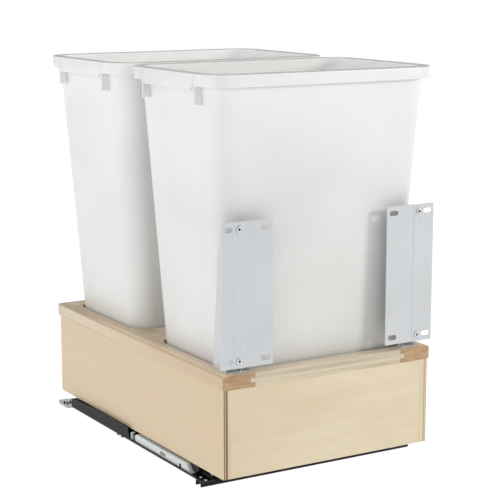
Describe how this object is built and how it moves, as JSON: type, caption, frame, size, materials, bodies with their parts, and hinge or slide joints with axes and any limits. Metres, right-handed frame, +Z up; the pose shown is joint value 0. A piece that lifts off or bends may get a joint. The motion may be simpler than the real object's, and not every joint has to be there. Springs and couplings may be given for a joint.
{
  "type": "pull out trash cabinet",
  "caption": "Pull-out cabinet insert: tapered lift-out bins in a framed wooden box on telescopic soft-close slides, with slotted door brackets.",
  "frame": {"origin": "on the cabinet floor, under the middle of the unit's bounding box", "axes": "+Z up, -Y towards the cabinet door, which is the way the drawer pulls out, +X to the right as seen from the door"},
  "size_m": [0.3704, 0.545, 0.5665],
  "materials": {
    "maple_frame": "solid maple, clear satin lacquer",
    "veneered_plywood": "maple veneer, clear satin lacquer, bare edges",
    "bin_plastic": "moulded white, satin",
    "black_steel": "black electro-coat",
    "zinc_steel": "zinc plate",
    "powder_coat": "pale grey powder coat",
    "grey_plastic": "moulded pale grey",
    "black_plastic": "moulded black",
    "cage_steel": "bright strip",
    "bearing_steel": "polished",
    "screw_steel": "zinc plate"
  },
  "bodies": {
    "base": {"front_crossbar": "black_steel", "rear_crossbar": "black_steel", "floor_runner_left": "black_steel", "floor_runner_right": "black_steel", "cabinet_member_left": "black_steel", "cabinet_member_right": "black_steel", "soft_close_unit_left": "grey_plastic", "soft_close_unit_right": "grey_plastic", "spring_anchor_left": "grey_plastic", "spring_anchor_right": "grey_plastic", "rear_bracket_left": "zinc_steel", "rear_bracket_right": "zinc_steel"},
    "drawer": {"frame_stile_left": "maple_frame", "frame_stile_right": "maple_frame", "frame_rail_front": "maple_frame", "frame_rail_middle": "maple_frame", "frame_rail_back": "maple_frame", "side_panel_left": "veneered_plywood", "side_panel_right": "veneered_plywood", "front_panel": "veneered_plywood", "back_panel": "veneered_plywood", "bottom_panel": "veneered_plywood", "drawer_member_left": "zinc_steel", "drawer_member_right": "zinc_steel", "striker_left": "black_plastic", "striker_right": "black_plastic", "door_post_left": "powder_coat", "door_post_right": "powder_coat", "door_plate_left": "powder_coat", "door_plate_right": "powder_coat", "plate_screws_left": "screw_steel", "plate_screws_right": "screw_steel"},
    "front_bin": {"front_bin": "bin_plastic"},
    "rear_bin": {"rear_bin": "bin_plastic"},
    "middle_left": {"middle_member_left": "zinc_steel"},
    "outer_cage_left": {"outer_cage_left": "cage_steel", "outer_balls_left": "bearing_steel"},
    "inner_cage_left": {"inner_cage_left": "cage_steel", "inner_balls_left": "bearing_steel"},
    "middle_right": {"middle_member_right": "zinc_steel"},
    "outer_cage_right": {"outer_cage_right": "cage_steel", "outer_balls_right": "bearing_steel"},
    "inner_cage_right": {"inner_cage_right": "cage_steel", "inner_balls_right": "bearing_steel"}
  },
  "joints": [
    {"name": "drawer_slide", "type": "slide", "parent": "base", "child": "drawer", "axis": [0, -1, 0], "range_m": [0, 0.48]},
    {"name": "middle_slide_left", "type": "slide", "parent": "base", "child": "middle_left", "axis": [0, -1, 0], "range_m": [0, 0.24]},
    {"name": "outer_cage_slide_left", "type": "slide", "parent": "base", "child": "outer_cage_left", "axis": [0, -1, 0], "range_m": [0, 0.12]},
    {"name": "inner_cage_slide_left", "type": "slide", "parent": "base", "child": "inner_cage_left", "axis": [0, -1, 0], "range_m": [0, 0.36]},
    {"name": "middle_slide_right", "type": "slide", "parent": "base", "child": "middle_right", "axis": [0, -1, 0], "range_m": [0, 0.24]},
    {"name": "outer_cage_slide_right", "type": "slide", "parent": "base", "child": "outer_cage_right", "axis": [0, -1, 0], "range_m": [0, 0.12]},
    {"name": "inner_cage_slide_right", "type": "slide", "parent": "base", "child": "inner_cage_right", "axis": [0, -1, 0], "range_m": [0, 0.36]},
    {"name": "front_bin_lift", "type": "slide", "parent": "drawer", "child": "front_bin", "axis": [0, 0, 1], "range_m": [0, 0.14]},
    {"name": "rear_bin_lift", "type": "slide", "parent": "drawer", "child": "rear_bin", "axis": [0, 0, 1], "range_m": [0, 0.14]}
  ],
  "couplings": [
    {"joint": "middle_slide_left", "follows": "drawer_slide", "ratio": 0.5},
    {"joint": "outer_cage_slide_left", "follows": "drawer_slide", "ratio": 0.25},
    {"joint": "inner_cage_slide_left", "follows": "drawer_slide", "ratio": 0.75},
    {"joint": "middle_slide_right", "follows": "drawer_slide", "ratio": 0.5},
    {"joint": "outer_cage_slide_right", "follows": "drawer_slide", "ratio": 0.25},
    {"joint": "inner_cage_slide_right", "follows": "drawer_slide", "ratio": 0.75}
  ]
}
